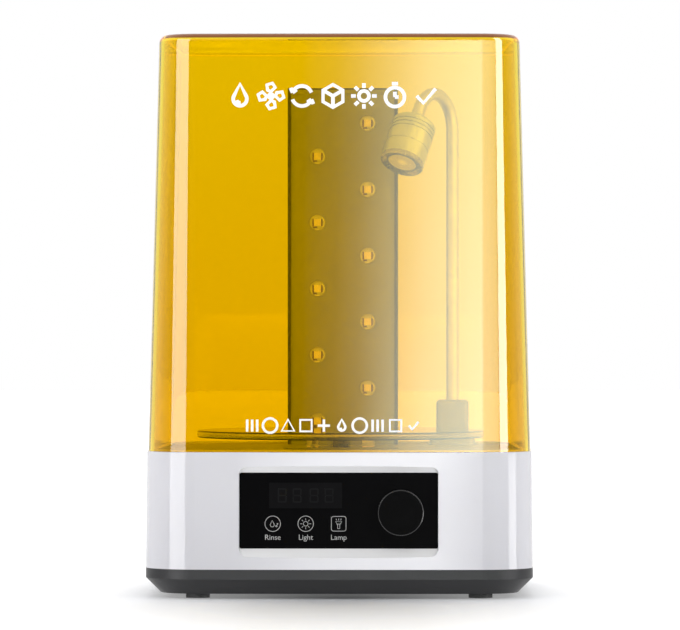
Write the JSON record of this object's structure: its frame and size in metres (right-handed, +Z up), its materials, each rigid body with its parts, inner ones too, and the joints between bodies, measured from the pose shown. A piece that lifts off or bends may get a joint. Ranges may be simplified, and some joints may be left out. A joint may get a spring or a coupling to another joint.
{
  "type": "resin wash and cure station",
  "caption": "Countertop wash and cure machine: amber lift-off hood over a white base with a control panel, a turntable, a light column and a posable lamp.",
  "frame": {"origin": "bottom centre of the whole object, on the surface it stands on", "axes": "+X to the right seen from the front, +Y to the back, +Z up"},
  "size_m": [0.2374, 0.226, 0.341],
  "materials": {
    "housing_white": "smooth semi-gloss moulded plastic",
    "tray_grey": "fine satin texture",
    "foot_rubber": "soft matte",
    "hood_amber": "clear amber tint, polished",
    "clear_plastic": "clear polished",
    "clear_lens": "clear",
    "deck_dark": "fine satin texture",
    "panel_black": "piano gloss",
    "display_black": "smoked window",
    "knob_black": "smooth satin",
    "column_dark": "satin",
    "plate_dark": "semi-gloss",
    "circuit_green": "solder mask",
    "board_white": "white coated board",
    "chip_yellow": "phosphor",
    "steel": "zinc plated",
    "magnet_nickel": "nickel plated",
    "bush_bronze": "sintered bronze",
    "neck_silver": "flexible metal hose, satin",
    "lamp_shell": "satin anodised",
    "lamp_trim": "satin"
  },
  "bodies": {
    "root": {"rubber_feet": "foot_rubber", "bottom_tray": "tray_grey", "base_housing": "housing_white", "top_deck": "deck_dark", "housing_screws": "steel", "deck_screws": "steel", "cover_sensor": "deck_dark", "power_inlet": "knob_black", "control_panel": "panel_black", "display_window": "display_black", "display_module": "circuit_green", "panel_board": "circuit_green", "indicator_leds": "chip_yellow", "encoder_body": "steel", "drive_motor": "steel", "motor_bracket": "steel", "motor_screws": "steel", "spindle_bearing": "bush_bronze", "column_housing": "column_dark", "column_front_plate": "plate_dark", "led_board": "board_white", "led_chips": "chip_yellow", "led_lenses": "clear_lens", "column_screws": "steel", "lamp_socket": "deck_dark", "main_board": "circuit_green", "board_standoffs": "steel"},
    "hood": {"cover": "hood_amber", "cover_magnet": "magnet_nickel"},
    "spindle": {"drive_spindle": "knob_black", "magnet_carrier": "deck_dark", "drive_magnets": "magnet_nickel"},
    "turntable": {"turntable_hub": "clear_plastic", "turntable_disc": "clear_plastic"},
    "encoder_stem": {"encoder_push_stem": "steel"},
    "knob": {"encoder_shaft": "steel", "control_knob": "knob_black"},
    "lamp_base": {"lamp_plug": "deck_dark"},
    "neck_low": {"neck_lower": "neck_silver"},
    "neck_mid": {"neck_middle": "neck_silver"},
    "neck_top": {"neck_upper": "neck_silver"},
    "lamp": {"neck_tip": "neck_silver", "lamp_collar": "lamp_shell", "lamp_head": "lamp_shell", "lamp_led_board": "board_white", "lamp_lens": "clear_lens", "lamp_bezel": "lamp_trim"}
  },
  "joints": [
    {"name": "cover_lift", "type": "slide", "parent": "root", "child": "hood", "axis": [0, 0, 1], "range_m": [0, 0.26]},
    {"name": "spindle_spin", "type": "hinge", "parent": "root", "child": "spindle", "pos_m": [0, -0.0105, 0.07], "axis": [0, 0, 1], "continuous": true},
    {"name": "turntable_lift", "type": "slide", "parent": "spindle", "child": "turntable", "axis": [0, 0, 1], "range_m": [0, 0.03]},
    {"name": "knob_press", "type": "slide", "parent": "root", "child": "encoder_stem", "axis": [0, 1, 0], "range_m": [0, 0.0007], "stiffness_N_per_m": 900, "springref_m": -0.0004},
    {"name": "knob_turn", "type": "hinge", "parent": "encoder_stem", "child": "knob", "pos_m": [0.0374, -0.1, 0.0524], "axis": [0, -1, 0], "continuous": true},
    {"name": "lamp_unplug", "type": "slide", "parent": "root", "child": "lamp_base", "axis": [0, 0, 1], "range_m": [0, 0.012]},
    {"name": "neck_swivel", "type": "hinge", "parent": "lamp_base", "child": "neck_low", "pos_m": [0.07, 0.0825, 0.115], "axis": [0, 0, 1], "range_deg": [-15, 40]},
    {"name": "neck_bend_low", "type": "hinge", "parent": "neck_low", "child": "neck_mid", "pos_m": [0.07, 0.0825, 0.16], "axis": [0.866, -0.5, 0], "range_deg": [-4, 10]},
    {"name": "neck_bend_high", "type": "hinge", "parent": "neck_mid", "child": "neck_top", "pos_m": [0.07, 0.0825, 0.24], "axis": [0.866, -0.5, 0], "range_deg": [-4, 10]},
    {"name": "lamp_tilt", "type": "hinge", "parent": "neck_top", "child": "lamp", "pos_m": [0.04826, 0.04485, 0.29907], "axis": [0.866, -0.5, 0], "range_deg": [-15, 15]}
  ],
  "couplings": [
    {"joint": "neck_bend_high", "follows": "neck_bend_low", "ratio": 1}
  ]
}
